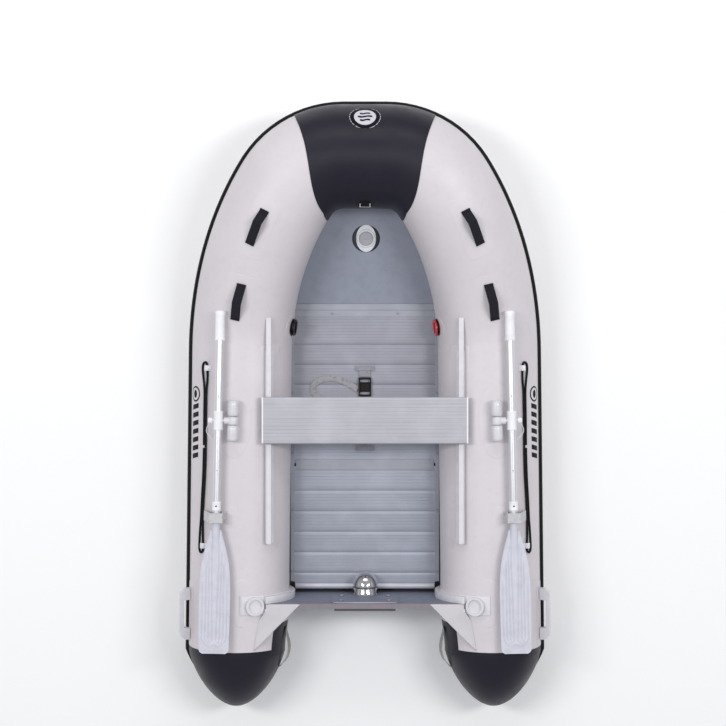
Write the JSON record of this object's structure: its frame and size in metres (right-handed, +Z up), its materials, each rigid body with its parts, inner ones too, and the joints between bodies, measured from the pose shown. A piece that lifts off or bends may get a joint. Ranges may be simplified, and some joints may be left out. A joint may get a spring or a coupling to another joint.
{
  "type": "inflatable dinghy",
  "caption": "Small inflatable boat: air tubes round a slatted aluminium floor, a transom, a sliding bench, stowed oars on oarlocks and grab lines.",
  "frame": {"origin": "on the ground under the middle of the boat's length and width", "axes": "+X to starboard, +Y to the bow, +Z up"},
  "size_m": [1.5452, 2.5, 0.6091],
  "materials": {
    "tube_fabric": "coated fabric, soft sheen",
    "navy_fabric": "coated fabric, soft sheen",
    "bottom_fabric": "coated fabric, matt",
    "black_rubber": "matt",
    "floor_aluminium": "anodised, fine ribs",
    "brushed_aluminium": "brushed",
    "bow_board": "painted board, satin",
    "transom_board": "painted plywood, satin",
    "steel": "polished",
    "white_plastic": "moulded, satin",
    "light_plastic": "moulded, matt",
    "grey_plastic": "moulded, matt",
    "black_plastic": "moulded, satin",
    "red_plastic": "moulded, satin",
    "blade_plastic": "moulded, satin",
    "shaft_aluminium": "anodised",
    "black_webbing": "woven",
    "grey_webbing": "woven",
    "black_rope": "braided",
    "white_cord": "braided"
  },
  "bodies": {
    "hull": {"tube_port": "tube_fabric", "tube_starboard": "tube_fabric", "bow_baffle": "bottom_fabric", "stern_cones": "navy_fabric", "bow_cover": "navy_fabric", "bow_ring_patch": "black_plastic", "rub_strake": "black_rubber", "bottom_fabric": "bottom_fabric", "keel_tube": "bottom_fabric", "keel_valve": "white_plastic", "bow_board": "bow_board", "floor_profiles": "floor_aluminium", "floor_panels": "floor_aluminium", "floor_stringers": "floor_aluminium", "floor_aft_bar": "white_plastic", "floor_end_caps": "black_rubber", "floor_screws": "steel", "transom_board": "transom_board", "transom_inner_plate": "steel", "transom_outer_pad": "black_rubber", "transom_bolts": "steel", "transom_holders": "light_plastic", "transom_webs": "light_plastic", "drain_housing": "white_plastic", "seat_tracks": "white_plastic", "tube_valves": "black_plastic", "carry_handles": "black_webbing", "stern_handles": "grey_plastic", "stern_loops": "grey_webbing", "tank_strap": "grey_webbing", "tank_strap_loops": "black_plastic", "strap_buckle": "black_plastic", "side_line_port": "black_rope", "side_line_starboard": "black_rope", "side_line_holders": "white_plastic", "oarlock_bases": "light_plastic", "oar_strap_bases": "grey_webbing"},
    "seat": {"seat_bench": "brushed_aluminium", "seat_end_caps": "white_plastic", "seat_sliders": "black_plastic"},
    "bow_ring": {"bow_ring": "white_plastic"},
    "keel_valve_cap": {"keel_valve_cap": "grey_plastic"},
    "drain_plug": {"drain_plug": "white_plastic"},
    "buckle_lever": {"buckle_lever": "black_plastic"},
    "valve_cap_port": {"valve_cap_port": "black_plastic"},
    "oarlock_pin_port": {"oarlock_pin_port": "light_plastic"},
    "oar_port": {"oar_shaft_port": "shaft_aluminium", "oar_grip_port": "white_plastic", "oar_blade_port": "blade_plastic", "lanyard_port": "white_cord"},
    "knob_port": {"knob_port": "white_plastic"},
    "oar_strap_port": {"oar_strap_port": "grey_webbing"},
    "valve_cap_starboard": {"valve_cap_starboard": "red_plastic"},
    "oarlock_pin_starboard": {"oarlock_pin_starboard": "light_plastic"},
    "oar_starboard": {"oar_shaft_starboard": "shaft_aluminium", "oar_grip_starboard": "white_plastic", "oar_blade_starboard": "blade_plastic", "lanyard_starboard": "white_cord"},
    "knob_starboard": {"knob_starboard": "white_plastic"},
    "oar_strap_starboard": {"oar_strap_starboard": "grey_webbing"}
  },
  "joints": [
    {"name": "seat_slide", "type": "slide", "parent": "hull", "child": "seat", "axis": [0, 1, 0], "range_m": [-0.4, 0.28]},
    {"name": "bow_ring_swing", "type": "hinge", "parent": "hull", "child": "bow_ring", "pos_m": [0, 0.82443, 0.47944], "axis": [-1, 0, 0], "range_deg": [0, 150]},
    {"name": "keel_valve_cap_turn", "type": "hinge", "parent": "hull", "child": "keel_valve_cap", "pos_m": [0.005, 0.712, 0.16957], "axis": [0, -0.2419, 0.9703], "continuous": true},
    {"name": "drain_plug_turn", "type": "hinge", "parent": "hull", "child": "drain_plug", "pos_m": [0.002, -0.793, 0.164], "axis": [0, 1, 0], "continuous": true},
    {"name": "buckle_lever_lift", "type": "hinge", "parent": "hull", "child": "buckle_lever", "pos_m": [0, 0.098, 0.1151], "axis": [-1, 0, 0], "range_deg": [0, 80]},
    {"name": "valve_cap_starboard_turn", "type": "hinge", "parent": "hull", "child": "valve_cap_starboard", "pos_m": [0.30233, 0.33612, 0.25532], "axis": [-0.975, -0.1423, 0.1707], "continuous": true},
    {"name": "oarlock_tilt_starboard", "type": "hinge", "parent": "hull", "child": "oarlock_pin_starboard", "pos_m": [0.53097, -0.04573, 0.455], "axis": [0.0204, -0.9998, 0], "range_deg": [0, 95]},
    {"name": "oar_swing_starboard", "type": "hinge", "parent": "oarlock_pin_starboard", "child": "oar_starboard", "pos_m": [0.59096, -0.04451, 0.455], "axis": [-0.9998, -0.0204, 0], "range_deg": [-0.3, 0.45]},
    {"name": "knob_starboard_turn", "type": "hinge", "parent": "oarlock_pin_starboard", "child": "knob_starboard", "pos_m": [0.62295, -0.04386, 0.455], "axis": [0.9998, 0.0204, 0], "continuous": true},
    {"name": "oar_strap_open_starboard", "type": "hinge", "parent": "hull", "child": "oar_strap_starboard", "pos_m": [0.65293, -0.43433, 0.381], "axis": [-0.0204, 0.9998, 0], "range_deg": [0, 125]},
    {"name": "valve_cap_port_turn", "type": "hinge", "parent": "hull", "child": "valve_cap_port", "pos_m": [-0.30233, 0.33612, 0.25532], "axis": [0.975, -0.1423, 0.1707], "continuous": true},
    {"name": "oarlock_tilt_port", "type": "hinge", "parent": "hull", "child": "oarlock_pin_port", "pos_m": [-0.53097, -0.04573, 0.455], "axis": [0.0204, 0.9998, 0], "range_deg": [0, 95]},
    {"name": "oar_swing_port", "type": "hinge", "parent": "oarlock_pin_port", "child": "oar_port", "pos_m": [-0.59096, -0.04451, 0.455], "axis": [-0.9998, 0.0204, 0], "range_deg": [-0.3, 0.45]},
    {"name": "knob_port_turn", "type": "hinge", "parent": "oarlock_pin_port", "child": "knob_port", "pos_m": [-0.62295, -0.04386, 0.455], "axis": [-0.9998, 0.0204, 0], "continuous": true},
    {"name": "oar_strap_open_port", "type": "hinge", "parent": "hull", "child": "oar_strap_port", "pos_m": [-0.65293, -0.43433, 0.381], "axis": [-0.0204, -0.9998, 0], "range_deg": [0, 125]}
  ],
  "couplings": [
    {"joint": "oar_strap_open_starboard", "follows": "oarlock_tilt_starboard", "ratio": 1.3},
    {"joint": "oar_strap_open_port", "follows": "oarlock_tilt_port", "ratio": 1.3}
  ]
}
